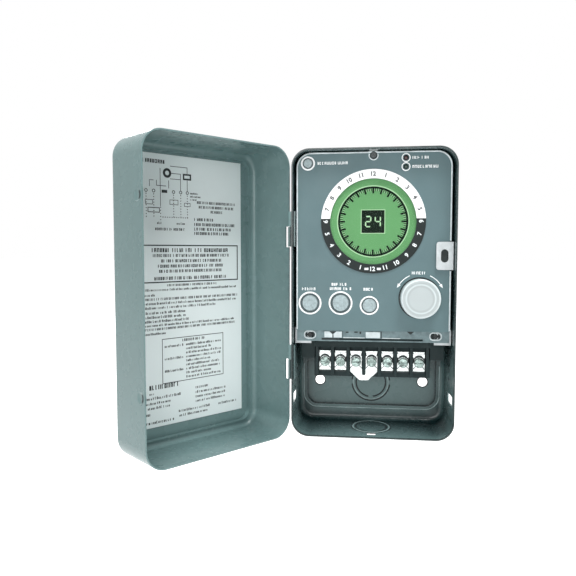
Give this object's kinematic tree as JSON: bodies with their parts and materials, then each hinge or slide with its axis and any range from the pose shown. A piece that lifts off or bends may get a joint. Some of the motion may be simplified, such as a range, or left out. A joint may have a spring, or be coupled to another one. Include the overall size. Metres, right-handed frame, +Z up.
{
  "type": "electronic time switch",
  "caption": "Wall-mounted electronic time switch: drawn steel case with hinged cover, round display dial with hour scale, push buttons, adjusting knob and screw terminal block.",
  "frame": {"origin": "midway between the two lower wall-mounting holes, on the back plane of the case", "axes": "+X to the right seen from the front, +Y into the wall, +Z up"},
  "size_m": [0.2172, 0.1255, 0.203],
  "materials": {
    "enamel": "smooth baked enamel",
    "panel_paint": "satin paint",
    "zinc_plate": "zinc plated",
    "tin_plate": "tin plated",
    "screw_nickel": "nickel plated",
    "steel_shaft": "ground steel",
    "scale_white": "printed satin film",
    "scale_black": "printed satin film",
    "clear_window": "clear acrylic",
    "lcd_green": "display face",
    "moulding_black": "moulded",
    "board_green": "solder mask",
    "spacer_brass": "turned",
    "lamp_red": "diffused lens",
    "lamp_green": "diffused lens",
    "relay_case": "moulded",
    "core_steel": "laminated",
    "winding": "taped",
    "can_aluminium": "sleeved",
    "chip_black": "moulded",
    "cell_steel": "satin",
    "insulation": "fish paper",
    "knob_ivory": "moulded satin",
    "button_grey": "fine grained",
    "label_paper": "printed label"
  },
  "bodies": {
    "case": {"case_shell": "enamel", "case_hinge_leaves": "zinc_plate", "hinge_pins": "zinc_plate", "catch_plate": "zinc_plate", "catch_rivets": "zinc_plate", "front_panel": "panel_paint", "panel_top_bracket": "zinc_plate", "panel_screw": "zinc_plate", "cross_strip": "zinc_plate", "side_brackets": "zinc_plate", "strip_screws": "zinc_plate", "day_scale": "scale_white", "night_scale": "scale_black", "display_window": "clear_window", "lcd_glass": "lcd_green", "lcd_frame": "moulding_black", "display_board": "board_green", "board_spacers": "spacer_brass", "tact_switches": "moulding_black", "upper_lamp": "lamp_red", "lower_lamp": "lamp_green", "encoder_body": "zinc_plate", "encoder_nut": "zinc_plate", "board_header": "moulding_black", "power_board": "board_green", "relays": "relay_case", "transformer_core": "core_steel", "transformer_coil": "winding", "capacitors": "can_aluminium", "logic_chip": "chip_black", "battery_holder": "moulding_black", "backup_battery": "cell_steel", "module_housing": "moulding_black", "insulation_sheet": "insulation", "terminal_block": "moulding_black", "terminal_leads": "tin_plate", "terminal_plates": "tin_plate", "wire_clamps": "tin_plate", "terminal_screws": "screw_nickel", "jumper_link": "tin_plate"},
    "cover": {"cover_shell": "enamel", "cover_label": "label_paper"},
    "knob": {"adjust_knob": "knob_ivory", "encoder_shaft": "steel_shaft"},
    "manual_button": {"manual_button": "button_grey"},
    "set_button": {"set_button": "button_grey"},
    "start_button": {"start_button": "button_grey"},
    "clear_button": {"clear_button": "button_grey"}
  },
  "joints": [
    {"name": "cover_hinge", "type": "hinge", "parent": "case", "child": "cover", "pos_m": [-0.0572, -0.0386, 0.0685], "axis": [0, 0, -1], "range_deg": [-130.5, 19.5]},
    {"name": "knob_turn", "type": "hinge", "parent": "case", "child": "knob", "pos_m": [0.0323, -0.044, 0.0661], "axis": [0, 1, 0], "continuous": true},
    {"name": "manual_button_press", "type": "slide", "parent": "case", "child": "manual_button", "axis": [0, 1, 0], "range_m": [0, 0.0006], "stiffness_N_per_m": 1500, "springref_m": -0.0003},
    {"name": "set_button_press", "type": "slide", "parent": "case", "child": "set_button", "axis": [0, 1, 0], "range_m": [0, 0.0006], "stiffness_N_per_m": 1500, "springref_m": -0.0003},
    {"name": "start_button_press", "type": "slide", "parent": "case", "child": "start_button", "axis": [0, 1, 0], "range_m": [0, 0.0006], "stiffness_N_per_m": 1500, "springref_m": -0.0003},
    {"name": "clear_button_press", "type": "slide", "parent": "case", "child": "clear_button", "axis": [0, 1, 0], "range_m": [0, 0.0006], "stiffness_N_per_m": 1500, "springref_m": -0.0003}
  ]
}
